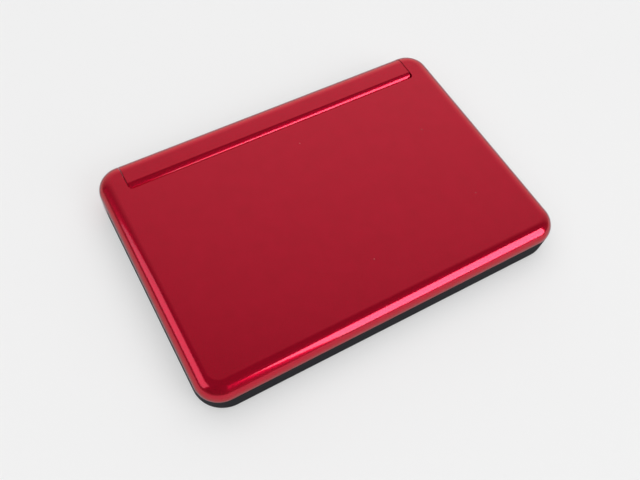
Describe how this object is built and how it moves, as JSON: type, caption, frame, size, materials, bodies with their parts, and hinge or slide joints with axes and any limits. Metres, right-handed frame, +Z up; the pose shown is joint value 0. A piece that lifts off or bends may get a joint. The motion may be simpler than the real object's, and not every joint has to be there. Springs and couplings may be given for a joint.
{
  "type": "electronic dictionary",
  "caption": "Closed clamshell electronic dictionary: red lid over a black base, battery barrel along the hinge, keyboard, handwriting pad and display inside.",
  "frame": {"origin": "centre of the closed case's outline, on the table under its feet", "axes": "+X along the hinge to the right as seen from the front, +Y towards the hinge, +Z up"},
  "size_m": [0.148, 0.1036, 0.0164],
  "materials": {
    "red_shell": "metallic red lacquer under a clear coat",
    "black_case": "fine moulded texture",
    "deck": "satin",
    "letter_keys": "satin",
    "grey_keys": "satin",
    "window": "clear hard-coated plastic",
    "display": "polished",
    "circuit_board": "solder mask",
    "chip": "moulded epoxy",
    "dome_sheet": "silicone",
    "cell_sleeve": "shrunk sleeve, bare",
    "steel": "plated",
    "cable": "polyimide film",
    "rubber": "matt"
  },
  "bodies": {
    "base": {"bottom_case": "black_case", "keyboard_deck": "deck", "hinge_cover": "red_shell", "main_board": "circuit_board", "board_chips": "chip", "dome_sheet": "dome_sheet", "sub_display": "display", "speaker": "chip", "battery_left": "cell_sleeve", "battery_right": "cell_sleeve", "battery_spring": "steel", "battery_plate": "steel", "hinge_bracket_left": "steel", "hinge_bracket_right": "steel", "hinge_washers": "steel", "case_screws": "steel", "rubber_feet": "rubber", "usb_socket": "steel", "earphone_socket": "chip", "card_socket": "steel", "display_cable_base": "cable"},
    "lid": {"lid_cover": "red_shell", "display_bezel": "deck", "display_window": "window", "display_panel": "display", "display_board": "circuit_board", "hinge_arm_left": "steel", "hinge_arm_right": "steel", "hinge_pin_left": "steel", "hinge_pin_right": "steel", "lid_bumpers": "rubber", "bezel_screws": "steel", "display_cable_lid": "cable"},
    "battery_door": {"battery_door": "black_case"},
    "card_door": {"card_door": "black_case"},
    "stylus": {"stylus": "black_case"},
    "power_key": {"power_key": "grey_keys"},
    "letter_row_1": {"letter_row_1": "letter_keys"},
    "letter_row_2": {"letter_row_2": "letter_keys"},
    "letter_row_3": {"letter_row_3": "letter_keys"},
    "function_key_1": {"function_key_1": "grey_keys"},
    "function_key_2": {"function_key_2": "grey_keys"},
    "function_key_3": {"function_key_3": "grey_keys"},
    "function_key_4": {"function_key_4": "grey_keys"},
    "function_key_5": {"function_key_5": "grey_keys"},
    "function_key_6": {"function_key_6": "grey_keys"},
    "shift_key": {"shift_key": "grey_keys"},
    "delete_key": {"delete_key": "grey_keys"},
    "back_key": {"back_key": "grey_keys"},
    "voice_key": {"voice_key": "grey_keys"},
    "page_up_key": {"page_up_key": "grey_keys"},
    "page_down_key": {"page_down_key": "grey_keys"},
    "enter_key": {"enter_key": "letter_keys"},
    "up_key": {"up_key": "grey_keys"},
    "down_key": {"down_key": "grey_keys"},
    "left_key": {"left_key": "grey_keys"},
    "right_key": {"right_key": "grey_keys"}
  },
  "joints": [
    {"name": "lid_hinge", "type": "hinge", "parent": "base", "child": "lid", "pos_m": [0, 0.0456, 0.0083], "axis": [-1, 0, 0], "range_deg": [0, 150]},
    {"name": "battery_door_slide", "type": "slide", "parent": "base", "child": "battery_door", "axis": [0, 1, 0], "range_m": [0, 0.004]},
    {"name": "card_door_hinge", "type": "hinge", "parent": "base", "child": "card_door", "pos_m": [-0.0734, 0.00003, 0.0036], "axis": [0, -1, 0], "range_deg": [0, 90]},
    {"name": "stylus_slide", "type": "slide", "parent": "base", "child": "stylus", "axis": [1, 0, 0], "range_m": [0, 0.07]},
    {"name": "power_key_press", "type": "slide", "parent": "base", "child": "power_key", "axis": [0, 0, -1], "range_m": [0, 0.0005], "stiffness_N_per_m": 800, "springref_m": -0.0003},
    {"name": "letter_row_1_press", "type": "slide", "parent": "base", "child": "letter_row_1", "axis": [0, 0, -1], "range_m": [0, 0.0005], "stiffness_N_per_m": 8000, "springref_m": -0.0003},
    {"name": "letter_row_2_press", "type": "slide", "parent": "base", "child": "letter_row_2", "axis": [0, 0, -1], "range_m": [0, 0.0005], "stiffness_N_per_m": 7200, "springref_m": -0.0003},
    {"name": "letter_row_3_press", "type": "slide", "parent": "base", "child": "letter_row_3", "axis": [0, 0, -1], "range_m": [0, 0.0005], "stiffness_N_per_m": 7200, "springref_m": -0.0003},
    {"name": "function_key_1_press", "type": "slide", "parent": "base", "child": "function_key_1", "axis": [0, 0, -1], "range_m": [0, 0.0005], "stiffness_N_per_m": 800, "springref_m": -0.0003},
    {"name": "function_key_2_press", "type": "slide", "parent": "base", "child": "function_key_2", "axis": [0, 0, -1], "range_m": [0, 0.0005], "stiffness_N_per_m": 800, "springref_m": -0.0003},
    {"name": "function_key_3_press", "type": "slide", "parent": "base", "child": "function_key_3", "axis": [0, 0, -1], "range_m": [0, 0.0005], "stiffness_N_per_m": 800, "springref_m": -0.0003},
    {"name": "function_key_4_press", "type": "slide", "parent": "base", "child": "function_key_4", "axis": [0, 0, -1], "range_m": [0, 0.0005], "stiffness_N_per_m": 800, "springref_m": -0.0003},
    {"name": "function_key_5_press", "type": "slide", "parent": "base", "child": "function_key_5", "axis": [0, 0, -1], "range_m": [0, 0.0005], "stiffness_N_per_m": 800, "springref_m": -0.0003},
    {"name": "function_key_6_press", "type": "slide", "parent": "base", "child": "function_key_6", "axis": [0, 0, -1], "range_m": [0, 0.0005], "stiffness_N_per_m": 800, "springref_m": -0.0003},
    {"name": "shift_key_press", "type": "slide", "parent": "base", "child": "shift_key", "axis": [0, 0, -1], "range_m": [0, 0.0005], "stiffness_N_per_m": 800, "springref_m": -0.0003},
    {"name": "delete_key_press", "type": "slide", "parent": "base", "child": "delete_key", "axis": [0, 0, -1], "range_m": [0, 0.0005], "stiffness_N_per_m": 800, "springref_m": -0.0003},
    {"name": "back_key_press", "type": "slide", "parent": "base", "child": "back_key", "axis": [0, 0, -1], "range_m": [0, 0.0005], "stiffness_N_per_m": 800, "springref_m": -0.0003},
    {"name": "voice_key_press", "type": "slide", "parent": "base", "child": "voice_key", "axis": [0, 0, -1], "range_m": [0, 0.0005], "stiffness_N_per_m": 800, "springref_m": -0.0003},
    {"name": "page_up_key_press", "type": "slide", "parent": "base", "child": "page_up_key", "axis": [0, 0, -1], "range_m": [0, 0.0005], "stiffness_N_per_m": 800, "springref_m": -0.0003},
    {"name": "page_down_key_press", "type": "slide", "parent": "base", "child": "page_down_key", "axis": [0, 0, -1], "range_m": [0, 0.0005], "stiffness_N_per_m": 800, "springref_m": -0.0003},
    {"name": "enter_key_press", "type": "slide", "parent": "base", "child": "enter_key", "axis": [0, 0, -1], "range_m": [0, 0.0005], "stiffness_N_per_m": 800, "springref_m": -0.0003},
    {"name": "up_key_press", "type": "slide", "parent": "base", "child": "up_key", "axis": [0, 0, -1], "range_m": [0, 0.0005], "stiffness_N_per_m": 800, "springref_m": -0.0003},
    {"name": "down_key_press", "type": "slide", "parent": "base", "child": "down_key", "axis": [0, 0, -1], "range_m": [0, 0.0005], "stiffness_N_per_m": 800, "springref_m": -0.0003},
    {"name": "left_key_press", "type": "slide", "parent": "base", "child": "left_key", "axis": [0, 0, -1], "range_m": [0, 0.0005], "stiffness_N_per_m": 800, "springref_m": -0.0003},
    {"name": "right_key_press", "type": "slide", "parent": "base", "child": "right_key", "axis": [0, 0, -1], "range_m": [0, 0.0005], "stiffness_N_per_m": 800, "springref_m": -0.0003}
  ]
}
